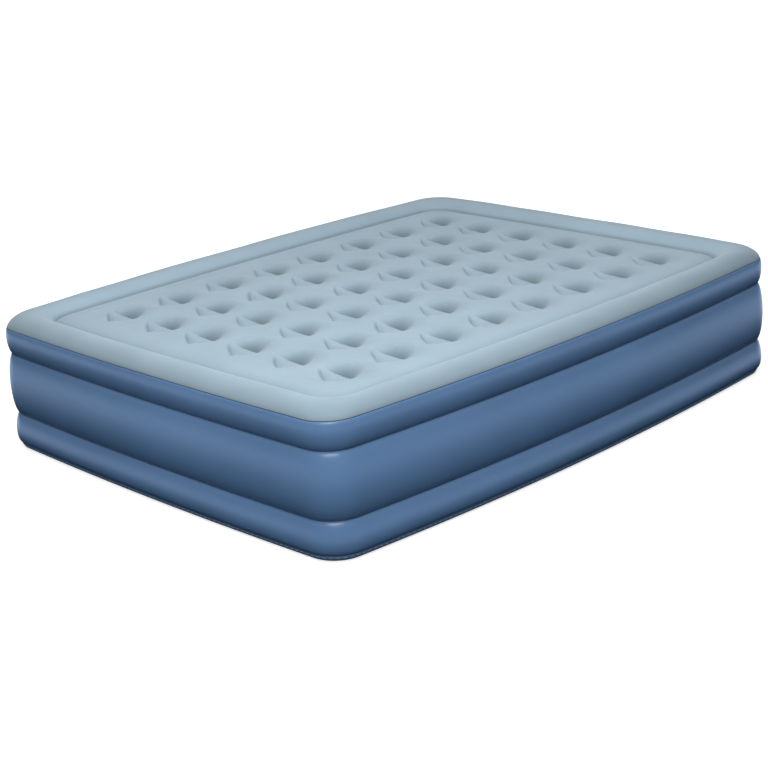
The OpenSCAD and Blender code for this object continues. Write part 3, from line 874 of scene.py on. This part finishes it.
def vinyl(name, colour, roughness=0.3, grain=0.05):
    """Satin film: soft highlights, a fine pressed grain, and faint handling marks."""
    material, tree, shader, where = new_material(name)
    low = tuple(c * 0.93 for c in colour)
    high = tuple(c * 1.06 for c in colour)
    patches = ramp(tree, noise(tree, where, 3.0, 4.0), low, high)
    # Painted shade: the film's colour darkens towards the tint where shade is stored on the
    # mesh.
    tree.links.new(paint_shade(tree, patches, PAINTED_CREASE_TINT), shader.inputs["Base Color"])
    marks = noise(tree, where, 6.0, 2.0)
    tree.links.new(ramp(tree, marks, grey(roughness - 0.04), grey(roughness + 0.06),
                        (0.0, 1.0)), shader.inputs["Roughness"])
    shader.inputs["Specular IOR Level"].default_value = 0.5
    bump(tree, shader, [(noise(tree, where, 700.0, 2.0), grain, 0.0003)])
    return material


def base_film(name):
    """Blue film turned up round the bottom edge, over the dark underside."""
    material, tree, shader, where = new_material(name)
    split = tree.nodes.new("ShaderNodeSeparateXYZ")
    tree.links.new(where, split.inputs["Vector"])
    blue = tuple(0.8 * c for c in BLUE_COLOUR)
    colour = ramp(tree, split.outputs["Z"], NAVY_COLOUR, blue, (4.5 * MM, 6 * MM))
    tree.links.new(colour, shader.inputs["Base Color"])
    tree.links.new(ramp(tree, noise(tree, where, 14.0, 5.0), grey(0.38), grey(0.5)),
                   shader.inputs["Roughness"])
    bump(tree, shader, [(noise(tree, where, 500.0, 2.0), 0.2, 0.0004)])
    return material


def plastic(name, colour, roughness):
    """Moulded plastic with a fine spark finish."""
    material, tree, shader, where = new_material(name)
    patch = noise(tree, where, 60.0, 3.0)
    tree.links.new(ramp(tree, patch, tuple(c * 0.9 for c in colour), colour),
                   shader.inputs["Base Color"])
    tree.links.new(ramp(tree, noise(tree, where, 220.0, 4.0), grey(roughness - 0.08),
                        grey(roughness + 0.08)), shader.inputs["Roughness"])
    bump(tree, shader, [(noise(tree, where, 2500.0, 2.0), 0.15, 0.0002)])
    return material


def give(piece, material):
    """Makes a material the piece's only one."""
    piece.data.materials.clear()
    piece.data.materials.append(material)


PAINTED_SHADE_TINT = (0.40, 0.43, 0.43)    # painted shade: what full shade multiplies the flock's colour by
PAINTED_CREASE_TINT = (0.26, 0.34, 0.40)    # and full painted shade at a crease the blue film's
FLOCK_COLOUR = (0.322, 0.43, 0.505)
BLUE_COLOUR = (0.123, 0.243, 0.452)
DASH_COLOUR = (0.34, 0.46, 0.6)
NAVY_COLOUR = (0.008, 0.018, 0.036)

NODE_LOOKS = {
    # CAD node: (material, material slot)
    "upper_waist_web": ("film", "inner_film"),
    "lower_waist_web": ("film", "inner_film"),
    "rim_walls": ("film", "inner_film"),
    "air_coils": ("film", "inner_film"),
    "coil_top_tabs": ("film", "inner_film"),
    "coil_base_rings": ("film", "inner_film"),
    "valve_socket": ("valve", "valve_plastic"),
    "valve_body": ("valve", "valve_plastic"),
    "body_tether": ("strap", "blue_vinyl"),
    "socket_gasket": ("rubber", "seal_rubber"),
    "flap_keeper": ("valve", "valve_plastic"),
    "one_way_flap": ("rubber", "seal_rubber"),
    "valve_cap": ("cap", "cap_plastic"),
    "cap_seal": ("seal", "seal_rubber"),
}


def dress_nodes(looks):
    """Gives the CAD pieces that stay visible their materials."""
    for node, (look, slot_name) in NODE_LOOKS.items():
        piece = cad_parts[node]
        give(piece, looks[look])


# ---- stage ----

FLOOR_SIZE = 90
FLOOR_SEEN = 0.8                # how pale the lit floor is to the camera
FLOOR_BOUNCE = 0.16             # and to the light that it throws back on the object
FLOOR_GLOW = 0.68               # its own glow, which only the camera sees


def make_floor():
    """A plain pale sweep. It is clear to reflections, so that it can't whiten the film."""
    bpy.ops.mesh.primitive_plane_add(size=FLOOR_SIZE, location=(0, 0, 0))
    floor = bpy.context.object
    floor.name = "floor"
    material, tree, shader, _ = new_material("floor_paint")
    shader.inputs["Roughness"].default_value = 0.9
    shader.inputs["Specular IOR Level"].default_value = 0.1
    path = tree.nodes.new("ShaderNodeLightPath")
    seen = path.outputs["Is Camera Ray"]
    tree.links.new(ramp(tree, seen, grey(FLOOR_BOUNCE), grey(FLOOR_SEEN), (0.0, 1.0)),
                   shader.inputs["Base Color"])
    tree.links.new(ramp(tree, seen, grey(0.0), grey(FLOOR_GLOW), (0.0, 1.0)),
                   shader.inputs["Emission Color"])
    shader.inputs["Emission Strength"].default_value = 1.0
    clear = tree.nodes.new("ShaderNodeBsdfTransparent")
    mix = tree.nodes.new("ShaderNodeMixShader")
    tree.links.new(path.outputs["Is Glossy Ray"], mix.inputs["Fac"])
    tree.links.new(shader.outputs["BSDF"], mix.inputs[1])
    tree.links.new(clear.outputs["BSDF"], mix.inputs[2])
    tree.links.new(mix.outputs["Shader"], tree.nodes["Material Output"].inputs["Surface"])
    give(floor, material)


def area_light(name, place, aim, size, power):
    """A white soft box."""
    data = bpy.data.lights.new(name, "AREA")
    data.shape = "RECTANGLE"
    data.size, data.size_y = size
    data.energy = power
    lamp = bpy.data.objects.new(name, data)
    bpy.context.scene.collection.objects.link(lamp)
    lamp.location = place
    lamp.rotation_mode = "QUATERNION"
    lamp.rotation_quaternion = (Vector(aim) - Vector(place)).to_track_quat("-Z", "Y")


SKY = (
    # (height of the direction, brightness); the low band shows as a streak in the vinyl
    (-0.34, 0.0), (-0.25, 2.2), (-0.18, 1.9), (-0.03, 0.4),
    (0.04, 0.12), (0.16, 0.18), (0.4, 0.5), (0.7, 0.62), (1.0, 0.75),
)
SKY_STRENGTH = 0.8
STREAK_COLOUR = (0.72, 0.9, 1.25)
LIGHTS = (
    # (name, place, aim, size, power)
    ("top", (0.7, -0.8, 2.5), (0.3, -0.4, 0.4), (1.6, 1.6), 34),
    ("front", (3.1, -3.4, 2.9), (0.2, -0.3, 0.25), (2.6, 1.2), 90),
    ("back", (-2.6, 3.0, 3.4), (0.0, 0.3, 0.2), (2.0, 1.5), 12),
)


def light_scene():
    """A studio dome that is dim near the horizon, and three soft boxes."""
    world = bpy.data.worlds.new("studio")
    world.use_nodes = True
    tree = world.node_tree
    where = tree.nodes.new("ShaderNodeTexCoord")
    split = tree.nodes.new("ShaderNodeSeparateXYZ")
    tree.links.new(where.outputs["Generated"], split.inputs["Vector"])
    dome = tree.nodes.new("ShaderNodeValToRGB")
    half = tree.nodes.new("ShaderNodeMath")
    half.operation = "MULTIPLY_ADD"
    half.inputs[1].default_value = 0.5
    half.inputs[2].default_value = 0.5
    tree.links.new(split.outputs["Z"], half.inputs[0])
    tree.links.new(half.outputs["Value"], dome.inputs["Fac"])
    stops = dome.color_ramp.elements
    while len(stops) < len(SKY):
        stops.new(0.5)
    for stop, (height, brightness) in zip(stops, SKY):
        stop.position = (height + 1) / 2
        tint = STREAK_COLOUR if height < 0 else (1, 1, 1)
        stop.color = tuple(brightness * part for part in tint) + (1,)
    background = tree.nodes["Background"]
    tree.links.new(dome.outputs["Color"], background.inputs["Color"])
    background.inputs["Strength"].default_value = SKY_STRENGTH
    bpy.context.scene.world = world
    for light in LIGHTS:
        area_light(*light)
    bpy.context.scene.view_settings.view_transform = "Standard"


CAMERA_AZIMUTH, CAMERA_ELEVATION, CAMERA_ROLL = 46.03, 18.835, -3.305
CAMERA_TARGET = (0.227, -0.2833, 0.2)
CAMERA_DISTANCE = 5.093
CAMERA_LENS = 79.87


def place_camera():
    """Looks down over the near corner, with a slight roll."""
    a, e, roll = map(math.radians, (CAMERA_AZIMUTH, CAMERA_ELEVATION, CAMERA_ROLL))
    back = Vector((math.sin(a) * math.cos(e), -math.cos(a) * math.cos(e), math.sin(e)))
    level = Vector((math.cos(a), math.sin(a), 0))
    rise = back.cross(level)
    right = level * math.cos(roll) + rise * math.sin(roll)
    up = rise * math.cos(roll) - level * math.sin(roll)
    data = bpy.data.cameras.new("camera")
    data.sensor_width = 36
    data.lens = CAMERA_LENS
    camera = bpy.data.objects.new("camera", data)
    bpy.context.scene.collection.objects.link(camera)
    camera.matrix_world = Matrix.Translation(
        Vector(CAMERA_TARGET) + back * CAMERA_DISTANCE
    ) @ Matrix((right, up, back)).transposed().to_4x4()
    bpy.context.scene.camera = camera


# ---- build ----

def build():
    """Makes every piece, then the materials, the stage, the light and the camera."""
    cover = make_top_cover()
    bands = make_bands()
    welds = make_welds()
    dashes = make_weld_dashes()
    base = make_base()
    collar = make_collar()
    blue = vinyl("blue_film", BLUE_COLOUR)
    navy = vinyl("navy_film", NAVY_COLOUR, 0.5, 0.3)
    give(cover, flocked("flocked_vinyl", FLOCK_COLOUR))
    for band in bands + [collar]:
        give(band, blue)
    for piece in welds:
        give(piece, navy)
    give(base, base_film("base_film"))
    give(dashes, vinyl("pressed_film", DASH_COLOUR))
    dress_nodes({
        "film": vinyl("inner_film", (0.4, 0.5, 0.58), 0.35),
        "valve": plastic("valve_plastic", (0.24, 0.28, 0.33), 0.4),
        "cap": plastic("cap_plastic", (0.05, 0.065, 0.09), 0.42),
        "strap": blue,
        "rubber": plastic("seal_rubber", (0.02, 0.022, 0.026), 0.7),
        "seal": plastic("pale_seal", (0.5, 0.56, 0.6), 0.6),
    })
    make_floor()
    light_scene()
    place_camera()


build()
